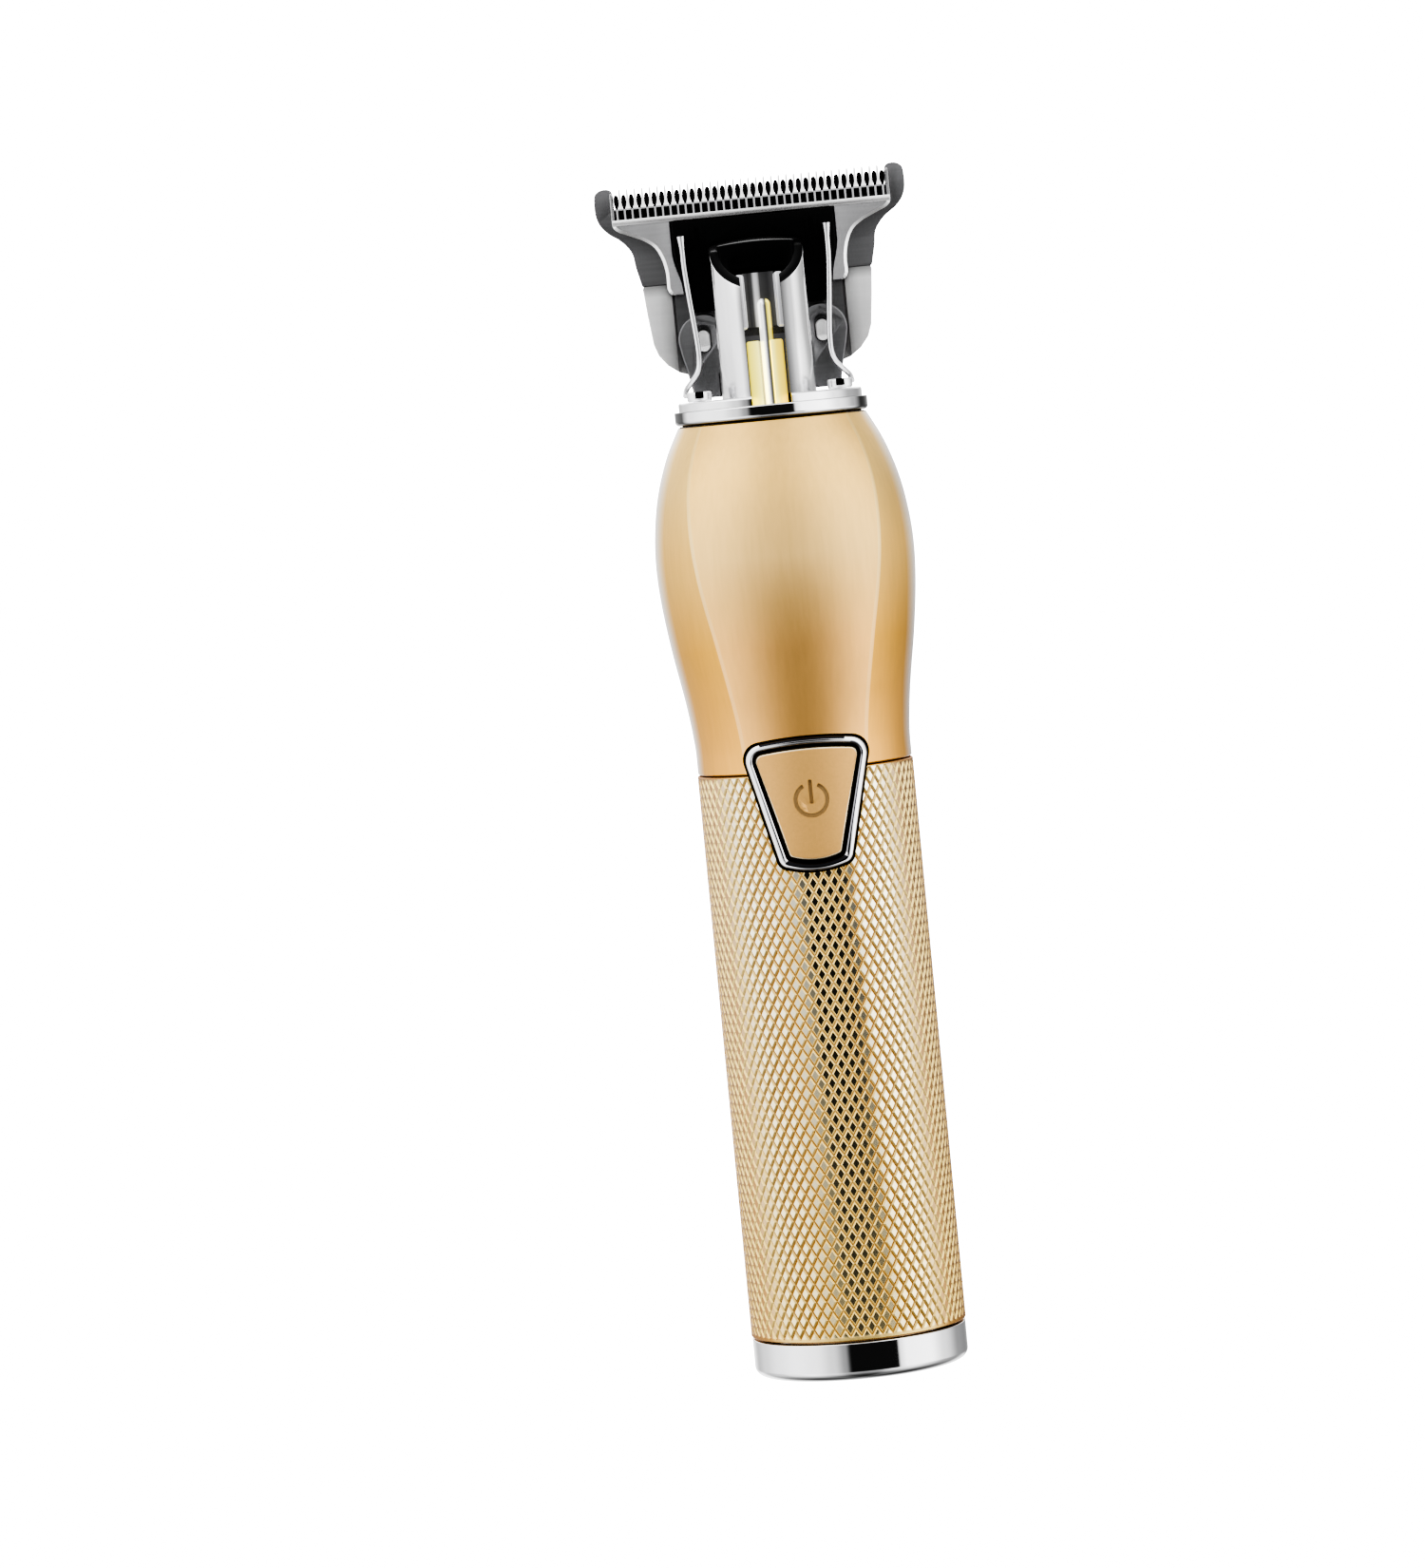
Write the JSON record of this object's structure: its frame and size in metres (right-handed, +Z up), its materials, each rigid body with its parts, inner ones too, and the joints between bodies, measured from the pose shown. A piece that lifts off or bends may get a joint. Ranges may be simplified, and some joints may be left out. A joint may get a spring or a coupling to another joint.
{
  "type": "cordless beard trimmer",
  "caption": "Upright cordless beard trimmer with a knurled gold grip, a flared gold housing, a shield-shaped power button and an open T-shaped blade head.",
  "frame": {"origin": "centre of the flat underside of the end cap, so the trimmer stands on Z = 0", "axes": "+Z up the handle towards the teeth, -Y the front with the power button, +X to the right seen from the front"},
  "size_m": [0.0418, 0.0346, 0.1606],
  "materials": {
    "gold_housing": "satin gold, lightly polished",
    "gold_sleeve": "bright gold, diamond knurled",
    "gold_button": "satin gold",
    "chrome_trim": "mirror polished",
    "nickel_base": "pale satin",
    "blade_dark": "dark grey, fine ground",
    "blade_bright": "ground, bright edges",
    "yoke_black": "moulded",
    "chassis_black": "moulded",
    "seal_rubber": "matt",
    "guide_brass": "turned",
    "shaft_steel": "ground",
    "plated_steel": "zinc plated",
    "windings": "enamelled copper on a laminated core",
    "magnet": "matt",
    "board": "solder mask",
    "cell": "shrink wrapped",
    "light_pipe": "clear",
    "lead_red": "insulation",
    "lead_black": "insulation"
  },
  "bodies": {
    "handle": {"base_screw_left": "blade_bright", "base_screw_right": "blade_bright", "battery_cell": "cell", "battery_lead_negative": "lead_black", "battery_lead_positive": "lead_red", "battery_tab_negative": "plated_steel", "battery_tab_positive": "plated_steel", "blade_base": "nickel_base", "blade_screw_left": "blade_bright", "blade_screw_right": "blade_bright", "button_bezel": "chrome_trim", "button_seal": "seal_rubber", "charge_board": "board", "charge_lead_negative": "lead_black", "charge_lead_positive": "lead_red", "charge_light_pipe": "light_pipe", "chassis_front": "chassis_black", "chassis_rear": "chassis_black", "collar_ring": "chrome_trim", "control_board": "board", "control_chip": "chassis_black", "end_cap": "chrome_trim", "fixed_blade": "blade_dark", "grip_sleeve": "gold_sleeve", "magnet_left": "magnet", "magnet_right": "magnet", "motor_bushing": "guide_brass", "motor_can": "plated_steel", "motor_end_bell": "chassis_black", "motor_lead_negative": "lead_black", "motor_lead_positive": "lead_red", "motor_plate": "plated_steel", "motor_screw_left": "plated_steel", "motor_screw_right": "plated_steel", "motor_terminal_left": "windings", "motor_terminal_right": "windings", "nose_frame": "chrome_trim", "nose_screw_left": "blade_bright", "nose_screw_right": "blade_bright", "shaft_guide": "guide_brass", "spring_wire_left": "blade_bright", "spring_wire_right": "blade_bright", "tact_switch_body": "chassis_black", "upper_housing": "gold_housing", "usb_insulator": "chassis_black", "usb_shell": "plated_steel"},
    "rotor": {"motor_shaft": "shaft_steel", "armature": "windings", "commutator": "windings", "eccentric_hub": "guide_brass", "drive_pin": "shaft_steel"},
    "cutter": {"moving_blade": "blade_bright", "drive_yoke": "yoke_black"},
    "button": {"power_button": "gold_button"},
    "plunger": {"tact_switch_plunger": "plated_steel"}
  },
  "joints": [
    {"name": "rotor_spin", "type": "hinge", "parent": "handle", "child": "rotor", "pos_m": [0, 0, 0.12], "axis": [0, 0, 1], "continuous": true},
    {"name": "cutter_stroke", "type": "slide", "parent": "handle", "child": "cutter", "axis": [1, 0, 0], "range_m": [-0.0005, 0.0005]},
    {"name": "button_press", "type": "slide", "parent": "handle", "child": "button", "axis": [0, 1, 0], "range_m": [0, 0.0005]},
    {"name": "plunger_press", "type": "slide", "parent": "handle", "child": "plunger", "axis": [0, 1, 0], "range_m": [0, 0.0005]}
  ],
  "couplings": [
    {"joint": "plunger_press", "follows": "button_press", "ratio": 1}
  ]
}
